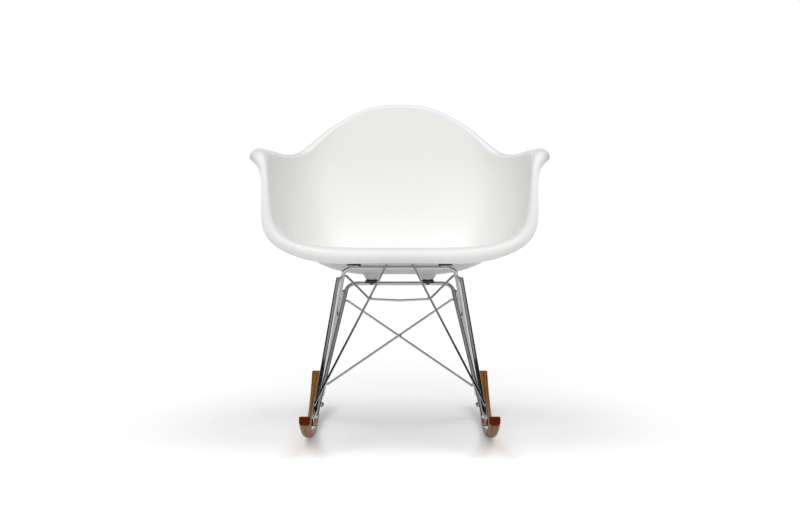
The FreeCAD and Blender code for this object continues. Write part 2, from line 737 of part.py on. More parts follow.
def hex_socket(radius, depth, base, direction):
    """A six-sided hole for a key, cut from a bolt head."""
    turn = FreeCAD.Rotation(V(0, 0, 1), direction)
    corners = [base + turn.multVec(V(radius * math.cos(k * math.pi / 3),
                                     radius * math.sin(k * math.pi / 3), 0)) for k in range(7)]
    return Part.Face(Part.makePolygon(corners)).extrude(direction * depth)


def domed_bolt(base, direction, shank, length, head, head_height):
    """A button-head bolt: its head stands behind base, its shank runs along direction."""
    turn = FreeCAD.Rotation(V(0, 0, 1), direction)
    dome_rise = head_height * DOME_RISE
    profile = [V(0, 0, -head_height), V(head * DOME_FLAT, 0, -head_height),
               V(head / 2, 0, -head_height + dome_rise), V(head / 2, 0, 0), V(shank / 2, 0, 0),
               V(shank / 2, 0, length), V(0, 0, length), V(0, 0, -head_height)]
    solid = Part.Face(Part.makePolygon(profile)).revolve(V(0, 0, 0), V(0, 0, 1), 360)
    solid.Placement = FreeCAD.Placement(base, turn)
    socket = hex_socket(shank * SOCKET_RADIUS, head_height * SOCKET_DEPTH,
                        base - direction * head_height, direction)
    return solid.cut(socket).Solids[0]


def ring_washer(base, direction, outer, bore):
    thickness = size("washer_thickness")
    return cylinder(outer / 2, thickness, base, direction).cut(
        cylinder(bore / 2, thickness, base, direction))


def foot_fasteners(bolts):
    """Bolts, washers and sleeve nuts of the four feet, each from the inner face outwards."""
    made = {"runner_bolts": [], "runner_washers": [], "sleeve_nuts": []}
    bolt_bore = size("runner_bolt") + 2 * size("fit")
    for side in (-1, 1):
        out = V(side, 0, 0)
        for right_bolt in bolts:
            face = mirrored(right_bolt, side)
            washer_base = face - out * (size("tab_thickness") + size("washer_thickness"))
            made["runner_washers"].append(
                ring_washer(washer_base, out, size("runner_washer"), bolt_bore))
            reach = size("tab_thickness") + size("washer_thickness")
            reach += size("runner_width") * BOLT_REACH
            made["runner_bolts"].append(
                domed_bolt(washer_base, out, size("runner_bolt"), reach,
                           size("runner_bolt_head"), size("runner_bolt_head_height")))
            outer_face = face + out * size("runner_width")
            barrel_end = outer_face - out * (size("sleeve_length") + size("sleeve_flange_height"))
            barrel = cylinder(size("sleeve") / 2, size("sleeve_length"), barrel_end, out)
            flange = cylinder(size("sleeve_flange") / 2, size("sleeve_flange_height"),
                              outer_face - out * size("sleeve_flange_height"), out)
            nut = barrel.fuse(flange)
            nut = nut.cut(cylinder(bolt_bore / 2, size("sleeve_length"), barrel_end, out))
            slot_depth = size("sleeve_flange_height") * SLOT_DEPTH
            slot = Part.makeBox(2 * slot_depth, size("sleeve_flange"), size("sleeve_slot"))
            slot.translate(outer_face - V(slot_depth, size("sleeve_flange") / 2,
                                          size("sleeve_slot") / 2))
            made["sleeve_nuts"].append(nut.cut(slot).Solids[0])
    return [group(label, shapes) for label, shapes in made.items()]


def mount_plate(mount):
    """A steel strip with rounded corners, welded on a hoop's top rod and bored for its bolt."""
    label = mount.label + "_mount_plate"
    body = new_body(label)
    length = size("thick_rod") / 2 + size("mount_offset") + size("plate_overhang")
    sketch = new_sketch(body, "XY_Plane")
    back, front = -size("thick_rod") / 2, length - size("thick_rod") / 2
    half = size("plate_width") / 2
    corners = [V(-half, back, 0), V(half, back, 0), V(half, front, 0), V(-half, front, 0)]
    for first, second in zip(corners, corners[1:] + corners[:1]):
        sketch.addGeometry(Part.LineSegment(first, second), False)
    doc.recompute()
    strip = pad(body, sketch, "sizes.plate_thickness")
    doc.recompute()
    upright = [k + 1 for k, edge in enumerate(strip.Shape.Edges)
               if abs(edge.Vertexes[0].Z - edge.Vertexes[-1].Z) > 0.5 * size("plate_thickness")]
    rounding = body.newObject("PartDesign::Fillet", label + "_rounding")
    rounding.Base = (strip, ["Edge%d" % k for k in upright])
    rounding.Radius = size("plate_width") / 6
    hole = new_sketch(body, "XY_Plane")
    draw_circle(hole, 0, size("mount_offset"), "sizes.mount_bolt + 2 * sizes.hole_clearance")
    doc.recompute()
    through_hole(body, hole)
    turn = FreeCAD.Rotation() if mount.forward > 0 else FreeCAD.Rotation(V(0, 0, 1), 180)
    body.Placement = FreeCAD.Placement(V(mount.rod.x, mount.rod.y, mount.plate_z), turn)
    return body


def rubber_pad(mount):
    """A rubber disc with rounded rims between the plate and the shell's boss."""
    label = mount.label + "_rubber_pad"
    ring = doc.addObject("Part::Cylinder", label + "_disc")
    ring.setExpression("Radius", "sizes.pad_radius")
    ring.setExpression("Height", "sizes.pad_thickness")
    bore = doc.addObject("Part::Cylinder", label + "_bore")
    bore.setExpression("Radius", "sizes.mount_bolt / 2 + sizes.hole_clearance")
    bore.setExpression("Height", "sizes.pad_thickness")
    pad_cut = doc.addObject("Part::Cut", label)
    pad_cut.Label = label
    pad_cut.Base = ring
    pad_cut.Tool = bore
    pad_cut.Placement = FreeCAD.Placement(V(mount.bolt.x, mount.bolt.y, mount.pad_z),
                                          FreeCAD.Rotation())
    return pad_cut


def mount_fasteners(places):
    """Bolts and washers under the plates, and the metal inserts in the bosses."""
    up = V(0, 0, 1)
    bolts, washers, inserts = [], [], []
    bolt_bore = size("mount_bolt") + 2 * size("fit")
    for mount in places:
        head_base = mount.bolt - up * size("washer_thickness")
        length = (size("washer_thickness") + size("plate_thickness") + size("pad_thickness")
                  + size("insert_length") * INSERT_REACH)
        bolts.append(domed_bolt(head_base, up, size("mount_bolt"), length,
                                size("mount_bolt_head"), size("mount_bolt_head_height")))
        washers.append(ring_washer(head_base, up, size("mount_washer"), bolt_bore))
        seat = V(mount.bolt.x, mount.bolt.y, mount.boss_z)
        inserts.append(cylinder(size("insert_diameter") / 2, size("insert_length"), seat, up).cut(
            cylinder(bolt_bore / 2, size("insert_length"), seat, up)))
    return [group("mount_bolts", bolts), group("mount_washers", washers),
            group("threaded_inserts", inserts)]


def v_rod_axis(frame):
    """Ends of the right V rod's axis: it touches the front hoop's top rod and the front strut."""
    touch = (size("thick_rod") + size("thin_rod")) / 2 + size("weld_gap")
    strut_axis = frame.front_tab - frame.front_strut_top
    share = (size("v_rod_foot_z") - frame.front_strut_top.z) / strut_axis.z
    on_strut = frame.front_strut_top + strut_axis * share
    on_hoop = V(size("v_rod_top_half"), frame.front_corner.y, frame.front_corner.z)
    top, foot = on_hoop, on_strut
    for _ in range(5):
        aim = foot - top
        off_hoop, off_strut = aim.cross(V(1, 0, 0)).normalize(), aim.cross(strut_axis).normalize()
        top = on_hoop + off_hoop * math.copysign(touch, -off_hoop.y)
        foot = on_strut + off_strut * math.copysign(touch, -off_strut.y)
    return top, foot


def v_rods(top, foot):
    """Thin rods from the front hoop's top rod to the front struts, running past each weld."""
    past = (foot - top).normalize() * (size("thick_rod") / 2)
    return [straight_rod(name + "_v_rod", mirrored(top - past, side), mirrored(foot + past, side),
                         "sizes.thin_rod") for side, name in SIDES]


def cradle(frame, v_top, v_foot):
    """The rod that hangs between the front hoop's legs, behind the V rods."""
    thick, thin, gap = size("thick_rod"), size("thin_rod"), size("weld_gap")
    leg_share = (size("cradle_top_z") - frame.front_corner.z) / frame.front_leg.z
    on_leg = frame.front_corner + frame.front_leg * leg_share
    end = on_leg + V(-(thick + thin) / 2 - gap, 0, 0)
    v_axis = v_foot - v_top
    v_share = (size("cradle_bend_z") - v_top.z) / v_axis.z
    on_v = v_top + v_axis * v_share
    behind = v_axis.cross(V(1, 0, 0)).normalize()
    bend = on_v + behind * math.copysign(thin + 3 * gap, behind.y)
    middle = V(0, bend.y, bend.z - size("cradle_sag"))
    points = [mirrored(end, -1), mirrored(bend, -1), middle, bend, end]
    return bent_rod("cradle_rod", points, size("cradle_bend"), "sizes.thin_rod")


def cross_rods(frame):
    """Two thin rods from a rear hoop leg to the foot of the opposite front hoop leg."""
    thick, thin, gap = size("thick_rod"), size("thin_rod"), size("weld_gap")
    touch = (thick + thin) / 2 + gap
    top_share = (size("cross_top_z") - frame.rear_corner.z) / frame.rear_leg.z
    foot_share = (size("cross_foot_z") - frame.front_corner.z) / frame.front_leg.z
    on_top = frame.rear_corner + frame.rear_leg * top_share
    on_foot = frame.front_corner + frame.front_leg * foot_share
    made = []
    run = on_foot - on_top
    apart = V(0, -run.z, run.y).normalize() * (thin / 2 + gap)
    for side, name in SIDES:
        shift = apart * side
        top = mirrored(on_top + V(-touch, 0, 0), side) + shift
        foot = mirrored(on_foot + V(-touch, 0, 0), -side) + shift
        made.append(straight_rod(name + "_cross_rod", top, foot, "sizes.thin_rod"))
    return made


def main():
    fill_sheet()
    frame = Frame()
    places = mounts()
    bolts = [frame.front_bolt, frame.rear_bolt]
    pieces = [seat_shell(ShellForm(), places)]
    pieces.append(hoop("front_hoop", frame.front_corner, frame.front_leg, frame.front_leg_end))
    pieces.append(hoop("rear_hoop", frame.rear_corner, frame.rear_leg, frame.rear_leg_end))
    for side, name in SIDES:
        pieces.append(strut(name + "_front_strut", side, frame.front_strut_top,
                            frame.front_tab, frame.front_bolt))
        pieces.append(strut(name + "_rear_strut", side, frame.rear_strut_top,
                            frame.rear_tab, frame.rear_bolt))
    v_top, v_foot = v_rod_axis(frame)
    pieces += v_rods(v_top, v_foot)
    pieces.append(cradle(frame, v_top, v_foot))
    pieces += cross_rods(frame)
    for mount in places:
        pieces.append(mount_plate(mount))
        pieces.append(rubber_pad(mount))
    pieces += mount_fasteners(places)
    for side, name in SIDES:
        pieces.append(runner(name + "_runner", side, bolts))
    pieces += foot_fasteners(bolts)
    doc.recompute()
    for thing in doc.Objects:
        if "Invalid" in thing.State or "Error" in thing.State:
            raise RuntimeError(thing.Label + " failed: " + ", ".join(thing.State))
    os.makedirs("parts", exist_ok=True)
    for piece in pieces:
        shape = piece.Shape
        if shape.isNull() or not shape.isValid():
            raise RuntimeError(piece.Label + " has no valid shape")
        print("%-28s solids %d volume %10.1f" % (piece.Label, len(shape.Solids), shape.Volume))
        shape.exportStep(os.path.join("parts", piece.Label + ".step"))


main()
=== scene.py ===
import math

import bmesh
import bpy
import numpy as np
from bpy.props import FloatProperty, FloatVectorProperty, PointerProperty
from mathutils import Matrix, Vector
from mathutils.bvhtree import BVHTree


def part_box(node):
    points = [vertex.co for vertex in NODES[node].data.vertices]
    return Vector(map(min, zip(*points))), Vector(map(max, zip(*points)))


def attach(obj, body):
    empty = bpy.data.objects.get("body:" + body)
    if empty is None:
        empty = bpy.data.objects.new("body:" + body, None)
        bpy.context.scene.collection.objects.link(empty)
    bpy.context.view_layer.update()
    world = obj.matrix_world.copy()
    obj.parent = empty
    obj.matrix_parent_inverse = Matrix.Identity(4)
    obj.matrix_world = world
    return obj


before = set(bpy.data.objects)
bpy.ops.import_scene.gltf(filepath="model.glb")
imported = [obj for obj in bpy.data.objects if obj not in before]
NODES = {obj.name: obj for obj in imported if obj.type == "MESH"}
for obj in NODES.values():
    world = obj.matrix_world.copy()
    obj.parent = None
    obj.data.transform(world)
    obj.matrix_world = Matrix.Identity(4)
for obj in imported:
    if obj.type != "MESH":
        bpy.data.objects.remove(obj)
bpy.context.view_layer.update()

bl_info = {
    "name": "Moulded rocking chair",
    "version": (1, 0, 0),
    "blender": (4, 5, 0),
    "location": "View3D > Sidebar > Rocking chair",
    "description": "Finishes, welds and studio for a moulded rocking chair on a welded rod base",
    "category": "Object",
}

SIDES = ("left", "right")
THIN_RODS = ("left_v_rod", "right_v_rod", "cradle_rod", "left_cross_rod", "right_cross_rod")
THICK_RODS = ("front_hoop", "rear_hoop", "left_front_strut", "right_front_strut",
              "left_rear_strut", "right_rear_strut")
RUNNERS = ("left_runner", "right_runner")
PLATES = tuple(f"{end}_{side}_mount_plate" for end in ("front", "rear") for side in SIDES)
PADS = tuple(f"{end}_{side}_rubber_pad" for end in ("front", "rear") for side in SIDES)
WHITE = (1.0, 1.0, 1.0, 1.0)

# In metres: half a runner's length along its arc, and how far forward the hoops' level bars are. Points
# of a pole lie within POLE_REACH of one another.
RUNNER_TIP = 0.3547
FRONT_BAR = -0.1
REAR_BAR = 0.08
POLE_REACH = 1e-6


def linear(hex_colour):
    """Turns an sRGB hex colour such as "#8A5A2B" to linear red, green, blue and alpha 1."""
    text = hex_colour.lstrip("#")
    parts = [int(text[i:i + 2], 16) / 255 for i in (0, 2, 4)]
    return tuple(p / 12.92 if p <= 0.04045 else ((p + 0.055) / 1.055) ** 2.4 for p in parts) + (1.0,)


def colour_prop(name, hex_colour, description):
    """A colour setting, with its default written in sRGB hex."""
    return FloatVectorProperty(name=name, description=description, subtype="COLOR", size=4,
                               min=0.0, max=1.0, default=linear(hex_colour))


class ShellSettings(bpy.types.PropertyGroup):
    colour: colour_prop("Colour", "#F2F2F1", "Colour of the moulded seat shell")
    roughness: FloatProperty(name="Roughness", description="Roughness of the shell's satin surface",
                             default=0.36, min=0.0, max=1.0, subtype="FACTOR")


class RodSettings(bpy.types.PropertyGroup):
    colour: colour_prop("Colour", "#C0C2C5", "Colour of the chrome plate")
    roughness: FloatProperty(name="Roughness", description="Roughness of the chrome plate",
                             default=0.06, min=0.0, max=1.0, subtype="FACTOR")
    thick: FloatProperty(name="Thick rod", description="Diameter of the hoops and struts",
                         default=0.009, min=0.004, max=0.02, unit="LENGTH")
    thin: FloatProperty(name="Thin rod", description="Diameter of the bracing rods",
                        default=0.005, min=0.002, max=0.012, unit="LENGTH")
    ripple: FloatProperty(name="Weld ripple", description="Height of a weld's ripples, as a share of it",
                          default=0.05, min=0.0, max=0.3, subtype="FACTOR")


class RunnerSettings(bpy.types.PropertyGroup):
    light: colour_prop("Light wood", "#AE7B37", "Colour of the pale wood between the rings")
    dark: colour_prop("Dark wood", "#5F3615", "Colour of the dark lines of the grain")
    end_grain: colour_prop("End grain", "#56200C", "Colour of the sawn ends, which take up more stain")
    worn: colour_prop("Worn underside", "#8E765C", "Colour where rocking has rubbed off the varnish")
    arc: FloatProperty(name="Arc", description="Radius of a runner's underside",
                       default=0.872, min=0.3, max=3.0, unit="LENGTH")
    ring_width: FloatProperty(name="Ring width", description="Distance between two growth rings",
                              default=0.0042, min=0.001, max=0.02, unit="LENGTH")


class HardwareSettings(bpy.types.PropertyGroup):
    steel: colour_prop("Blackened steel", "#525458", "Colour of the mount plates and their bolts")
    zinc: colour_prop("Zinc", "#B4B6B9", "Colour of the foot bolts, washers and sleeve nuts")
    rubber: colour_prop("Rubber", "#121213", "Colour of the pads under the shell")
    brass: colour_prop("Brass", "#C8A04A", "Colour of the threaded inserts")
    dust: colour_prop("Dust", "#4A4A48", "Colour of the dust on the rubber")


class StageSettings(bpy.types.PropertyGroup):
    camera_height: FloatProperty(name="Camera height", description="Height of the lens over the floor",
                                 default=0.8, min=0.1, max=3.0, unit="LENGTH")
    camera_distance: FloatProperty(name="Camera distance",
                                   description="Distance of the lens from the chair's middle",
                                   default=4.7, min=1.0, max=12.0, unit="LENGTH")
    camera_pitch: FloatProperty(name="Camera pitch", description="How far the camera looks down",
                                default=math.radians(5.26), min=0.0, max=1.5, unit="ROTATION")
    lens: FloatProperty(name="Lens", description="Focal length of the lens in millimetres",
                        default=97.2, min=10.0, max=400.0)
    floor_colour: colour_prop("Floor", "#F3F3F3", "Colour of the floor paper")
    floor_bounce: colour_prop("Floor bounce", "#CBCBCB", "Colour by which the floor lights the chair")
    floor_glow: FloatProperty(name="Floor glow", description="What lifts the seen floor to paper white",
                              default=0.24, min=0.0, max=1.0)
    key: FloatProperty(name="Overhead lamps", description="Strength of each broad lamp overhead",
                       default=0.72, min=0.0, max=10.0)
    fill: FloatProperty(name="Front lamp", description="Strength of the low lamp at the front",
                        default=1.08, min=0.0, max=10.0)
    ambient: FloatProperty(name="Ambient", description="Strength of the light from all round",
                           default=0.28, min=0.0, max=4.0)


class ChairSettings(bpy.types.PropertyGroup):
    shell: PointerProperty(type=ShellSettings, name="Shell", description="The moulded seat shell")
    rods: PointerProperty(type=RodSettings, name="Rods", description="The chromed rods and welds")
    runners: PointerProperty(type=RunnerSettings, name="Runners", description="The wooden runners")
    hardware: PointerProperty(type=HardwareSettings, name="Hardware", description="Plates and bolts")
    stage: PointerProperty(type=StageSettings, name="Stage", description="Floor, lamps and camera")


def add_node(tree, kind, settings=None, **inputs):
    """Adds a node. settings are its own attributes. An input is called by its name, or by its number
    after an underscore, and is a value, a socket, or a node, which stands for its first live output.
    The patterns are placed in metres, so a pattern's Scale is how many of its features fit in a metre."""
    node = tree.nodes.new(kind)
    for name, value in (settings or {}).items():
        setattr(node, name, value)
    for name, value in inputs.items():
        socket = node.inputs[int(name[1:])] if name[0] == "_" else node.inputs[name.replace("_", " ")]
        if isinstance(value, bpy.types.Node):
            value = next(output for output in value.outputs if output.enabled)
        if isinstance(value, bpy.types.NodeSocket):
            tree.links.new(value, socket)
        else:
            socket.default_value = value
    return node


def new_material(name):
    """An empty material and its tree."""
    material = bpy.data.materials.new(name)
    material.use_nodes = True
    tree = material.node_tree
    tree.nodes.clear()
    return material, tree


def polypropylene(settings):
    """Injection-moulded polypropylene: a satin white whose spark-eroded mould grain blurs what it
    mirrors, a little smoother where people sit. The grain is drawn at 1 mm, four times its real size,
    so that it still shows."""
    material, tree = new_material("satin_moulded_polypropylene")
    place = add_node(tree, "ShaderNodeTexCoord").outputs["Object"]
    grain = add_node(tree, "ShaderNodeTexNoise", Vector=place, Scale=1000.0, Detail=3.0, Roughness=0.6)
    bump = add_node(tree, "ShaderNodeBump", Height=grain, Strength=0.25, Distance=0.00006)
    flow = add_node(tree, "ShaderNodeTexNoise", Vector=place, Scale=9.0, Detail=2.0)
    polish = add_node(tree, "ShaderNodeMapRange", Value=flow, From_Min=0.3, From_Max=0.7,
                      To_Min=settings.roughness - 0.04, To_Max=settings.roughness + 0.05)
    shade = tuple(0.985 * part for part in settings.colour[:3]) + (1.0,)
    tint = add_node(tree, "ShaderNodeMix", {"data_type": "RGBA"}, _0=flow, _6=settings.colour[:],
                    _7=shade)
    shader = add_node(tree, "ShaderNodeBsdfPrincipled", Base_Color=tint, Roughness=polish, IOR=1.49,
                      Normal=bump)
    add_node(tree, "ShaderNodeOutputMaterial", Surface=shader)
    return material


def chrome(settings):
    """Bright nickel-chrome plate on drawn steel rod: mirror-like, so it shows the dark studio sides
    as black bands, with faint waves from drawing and smudges from hands."""
    material, tree = new_material("chrome_plated_steel_rod")
    place = add_node(tree, "ShaderNodeTexCoord").outputs["Object"]
    waves = add_node(tree, "ShaderNodeTexNoise", Vector=place, Scale=70.0, Detail=1.0)
    bump = add_node(tree, "ShaderNodeBump", Height=waves, Strength=0.04, Distance=0.0004)
    smudge = add_node(tree, "ShaderNodeTexNoise", Vector=place, Scale=25.0, Detail=3.0)
    rough = add_node(tree, "ShaderNodeMapRange", Value=smudge, From_Min=0.35, From_Max=0.75,
                     To_Min=settings.roughness, To_Max=settings.roughness + 0.07)
    shader = add_node(tree, "ShaderNodeBsdfPrincipled", Base_Color=settings.colour[:], Metallic=1.0,
                      Roughness=rough, Normal=bump)
    add_node(tree, "ShaderNodeOutputMaterial", Surface=shader)
    return material


def varnished_wood(settings):
    """Stained hardwood under gloss varnish: growth rings and pores run along the arc, the sawn ends
    drink more stain, and the underside is rubbed pale where it rocks. Pores are drawn 1.2 mm wide,
    three times their real width, so that they still show."""
    fibre_stretch, ring_tilt, ring_drift = 0.04, 0.45, 0.012
    sawn_from, sawn_to, rubbed_from, rubbed_to = RUNNER_TIP - 0.003, RUNNER_TIP - 0.0004, 0.0022, 0.0004
    material, tree = new_material("varnished_stained_hardwood")
    place = add_node(tree, "ShaderNodeTexCoord").outputs["Object"]
    axes = add_node(tree, "ShaderNodeSeparateXYZ", Vector=place)
    across, forward, height = axes.outputs
    drop = add_node(tree, "ShaderNodeMath", {"operation": "SUBTRACT"}, _0=settings.arc, _1=height)
    spoke = add_node(tree, "ShaderNodeCombineXYZ", Y=forward, Z=drop)
    radius = add_node(tree, "ShaderNodeVectorMath", {"operation": "LENGTH"}, _0=spoke)
    angle = add_node(tree, "ShaderNodeMath", {"operation": "ARCTAN2"}, _0=forward, _1=drop)
    along = add_node(tree, "ShaderNodeMath", {"operation": "MULTIPLY"}, _0=angle, _1=settings.arc)
    squeezed = add_node(tree, "ShaderNodeMath", {"operation": "MULTIPLY"}, _0=along, _1=fibre_stretch)
    fibre = add_node(tree, "ShaderNodeCombineXYZ", X=across, Y=squeezed, Z=radius)

    drift = add_node(tree, "ShaderNodeTexNoise", Vector=fibre, Scale=45.0, Detail=2.0)
    level = add_node(tree, "ShaderNodeMath", {"operation": "MULTIPLY_ADD"}, _0=across, _1=ring_tilt,
                     _2=radius)
    level = add_node(tree, "ShaderNodeMath", {"operation": "MULTIPLY_ADD"}, _0=drift, _1=ring_drift,
                     _2=level)
    turns = add_node(tree, "ShaderNodeMath", {"operation": "MULTIPLY"}, _0=level,
                     _1=2 * math.pi / settings.ring_width)
    ring = add_node(tree, "ShaderNodeMath", {"operation": "SINE"}, _0=turns)
    pore = add_node(tree, "ShaderNodeTexNoise", Vector=fibre, Scale=830.0, Detail=3.0, Roughness=0.65)
    patch = add_node(tree, "ShaderNodeTexNoise", Vector=fibre, Scale=30.0, Detail=1.0)
    depth = add_node(tree, "ShaderNodeMath", {"operation": "MULTIPLY_ADD"}, _0=ring, _1=0.16, _2=pore)
    depth = add_node(tree, "ShaderNodeMath", {"operation": "MULTIPLY_ADD"}, _0=patch, _1=0.7, _2=depth)
    stain = add_node(tree, "ShaderNodeMapRange", Value=depth, From_Min=0.55, From_Max=1.2)
    colour = add_node(tree, "ShaderNodeMix", {"data_type": "RGBA"}, _0=stain, _6=settings.light[:],
                      _7=settings.dark[:])

    tip = add_node(tree, "ShaderNodeMath", {"operation": "ABSOLUTE"}, _0=along)
    sawn = add_node(tree, "ShaderNodeMapRange", Value=tip, From_Min=sawn_from, From_Max=sawn_to)
    colour = add_node(tree, "ShaderNodeMix", {"data_type": "RGBA"}, _0=sawn, _6=colour,
                      _7=settings.end_grain[:])
    low = add_node(tree, "ShaderNodeMapRange", Value=height, From_Min=rubbed_from, From_Max=rubbed_to)
    scuff = add_node(tree, "ShaderNodeMath", {"operation": "MULTIPLY"}, _0=low, _1=pore)
    colour = add_node(tree, "ShaderNodeMix", {"data_type": "RGBA"}, _0=scuff, _6=colour,
                      _7=settings.worn[:])

    rough = add_node(tree, "ShaderNodeMapRange", Value=scuff, To_Min=0.34, To_Max=0.75)
    bump = add_node(tree, "ShaderNodeBump", Height=pore, Strength=0.18, Distance=0.0002)
    shader = add_node(tree, "ShaderNodeBsdfPrincipled", Base_Color=colour, Roughness=rough, IOR=1.5,
                      Specular_IOR_Level=0.02, Coat_Weight=0.03, Coat_Roughness=0.15, Normal=bump)
    add_node(tree, "ShaderNodeOutputMaterial", Surface=shader)
    return material


def worked_metal(name, colour, roughness, size, contrast):
    """A plain metal whose plating or oxide varies from spot to spot; size is a spot's width in metres."""
    material, tree = new_material(name)
    place = add_node(tree, "ShaderNodeTexCoord").outputs["Object"]
    spots = add_node(tree, "ShaderNodeTexNoise", Vector=place, Scale=1 / size, Detail=4.0,
                     Roughness=0.6)
    dim = tuple((1 - contrast) * part for part in colour[:3]) + (1.0,)
    tint = add_node(tree, "ShaderNodeMix", {"data_type": "RGBA"}, _0=spots, _6=colour[:], _7=dim)
    rough = add_node(tree, "ShaderNodeMapRange", Value=spots, From_Min=0.3, From_Max=0.7,
                     To_Min=roughness - 0.07, To_Max=roughness + 0.09)
    bump = add_node(tree, "ShaderNodeBump", Height=spots, Strength=0.12, Distance=0.0001)
    shader = add_node(tree, "ShaderNodeBsdfPrincipled", Base_Color=tint, Metallic=1.0, Roughness=rough,
                      Normal=bump)
    add_node(tree, "ShaderNodeOutputMaterial", Surface=shader)
    return material


def moulded_rubber(settings):
    """Pressed black rubber: matte, finely pitted, and greyed by a little dust."""
    material, tree = new_material("pressed_black_rubber")
    place = add_node(tree, "ShaderNodeTexCoord").outputs["Object"]
    pits = add_node(tree, "ShaderNodeTexVoronoi", Vector=place, Scale=1300.0)
    dust = add_node(tree, "ShaderNodeTexNoise", Vector=place, Scale=90.0, Detail=4.0)
    amount = add_node(tree, "ShaderNodeMapRange", Value=dust, From_Min=0.45, From_Max=0.8, To_Max=0.35)
    colour = add_node(tree, "ShaderNodeMix", {"data_type": "RGBA"}, _0=amount, _6=settings.rubber[:],
                      _7=settings.dust[:])
    bump = add_node(tree, "ShaderNodeBump", Height=pits, Strength=0.3, Distance=0.0001)
    shader = add_node(tree, "ShaderNodeBsdfPrincipled", Base_Color=colour, Roughness=0.62, IOR=1.52,
                      Normal=bump)
    add_node(tree, "ShaderNodeOutputMaterial", Surface=shader)
    return material


def dress(names, material):
    """Gives CAD nodes a material."""
    for name in names:
        data = NODES[name].data
        data.materials.clear()
        data.materials.append(material)


def settings_of(context):
    return context.scene.rocking_chair


def unit(vector):
    return vector / np.linalg.norm(vector, axis=-1, keepdims=True)


def closed_grids(name, grids):
    """One object from grids of points, each (rows, columns, 3). A row is a ring round the shape. The
    first and last rows are poles: their points lie in one place and are merged, which closes the skin."""
    points, faces, base = [], [], 0
    for grid in grids:
        rows, columns = grid.shape[:2]
        numbers = base + np.arange(rows * columns).reshape(rows, columns)
        here, there = numbers[:-1], numbers[1:]
        quads = np.stack([here, np.roll(here, -1, 1), np.roll(there, -1, 1), there], -1)
        points.append(grid.reshape(-1, 3))
        faces.append(quads.reshape(-1, 4))
        base += rows * columns
    mesh = bpy.data.meshes.new(name)
    mesh.from_pydata(np.concatenate(points).tolist(), [], np.concatenate(faces).tolist())
    skin = bmesh.new()
    skin.from_mesh(mesh)
    bmesh.ops.remove_doubles(skin, verts=skin.verts, dist=POLE_REACH)
    bmesh.ops.recalc_face_normals(skin, faces=skin.faces)
    skin.to_mesh(mesh)
    skin.free()
    mesh.polygons.foreach_set("use_smooth", [True] * len(mesh.polygons))
    piece = bpy.data.objects.new(name, mesh)
    bpy.context.scene.collection.objects.link(piece)
    return piece


def long_edges(name, shortest=0.012):
    """Starts and ends of a rod's long edges, which run along it."""
    mesh = NODES[name].data
    points = np.empty(len(mesh.vertices) * 3)
    mesh.vertices.foreach_get("co", points)
    edges = np.empty(len(mesh.edges) * 2, dtype=int)
    mesh.edges.foreach_get("vertices", edges)
    ends = points.reshape(-1, 3)[edges.reshape(-1, 2)]
    return ends[np.linalg.norm(ends[:, 1] - ends[:, 0], axis=1) > shortest]


def nearest(rod, other, side, samples=160):
    """Where a rod comes nearest to another on one side of the chair: the point on it, the point on the
    other, and its own direction there. side is -1 or 1, or 0 for both sides."""
    ends = long_edges(rod)
    share = np.linspace(0, 1, samples)[:, None, None]
    points = (ends[:, 0] * (1 - share) + ends[:, 1] * share).reshape(-1, 3)
    along = np.tile(unit(ends[:, 1] - ends[:, 0]), (len(share), 1))
    here = points[:, 0] * side >= 0
    points, along = points[here], along[here]
    tree = BVHTree.FromPolygons([v.co for v in NODES[other].data.vertices],
                                [p.vertices for p in NODES[other].data.polygons])
    hits = [tree.find_nearest(Vector(point)) for point in points]
    best = min(range(len(points)), key=lambda k: hits[k][3])
    return points[best], np.array(hits[best][0]), along[best]


def weld(rod, other, side, radius, ripple, steps=24):
    """A weld between two rods. It is a flat cushion round the touching point: its outline in the plane
    that touches both rods is an ellipse, longer the sharper the rods cross, and its thickness falls from
    the middle to the outline as a half circle does. Fine ripples run round it. Where the rods are all
    but parallel, the plane's normal is the line from one to the other."""
    width, depth, shortest, longest, ripples, all_but_parallel = 1.15, 0.72, 1.25, 2.8, 9, 0.2
    near, far, one = nearest(rod, other, side)
    two = nearest(other, rod, side)[2]
    if one @ two < 0:
        two = -two
    middle = (near + far) / 2
    long_way = unit(one + two)
    normal = np.cross(one, two)
    if np.linalg.norm(normal) < all_but_parallel:
        normal = near - middle
        normal = normal - long_way * (normal @ long_way)
    normal = unit(normal)
    short_way = np.cross(normal, long_way)
    half_angle = math.acos(min(1.0, float(one @ two))) / 2
    length = radius * min(longest, max(shortest, 0.95 / max(math.sin(half_angle), 0.05)))
    lift = np.linspace(-np.pi / 2, np.pi / 2, steps // 2 + 1)[:, None]
    turn = np.linspace(0, 2 * np.pi, steps, endpoint=False)[None]
    swell = 1 + ripple * np.cos(ripples * turn) * np.cos(lift)
    flat = np.cos(lift) * swell
    return (middle + (length * flat * np.cos(turn))[..., None] * long_way
            + (width * radius * flat * np.sin(turn))[..., None] * short_way
            + (depth * radius * np.sin(lift) * swell)[..., None] * normal)


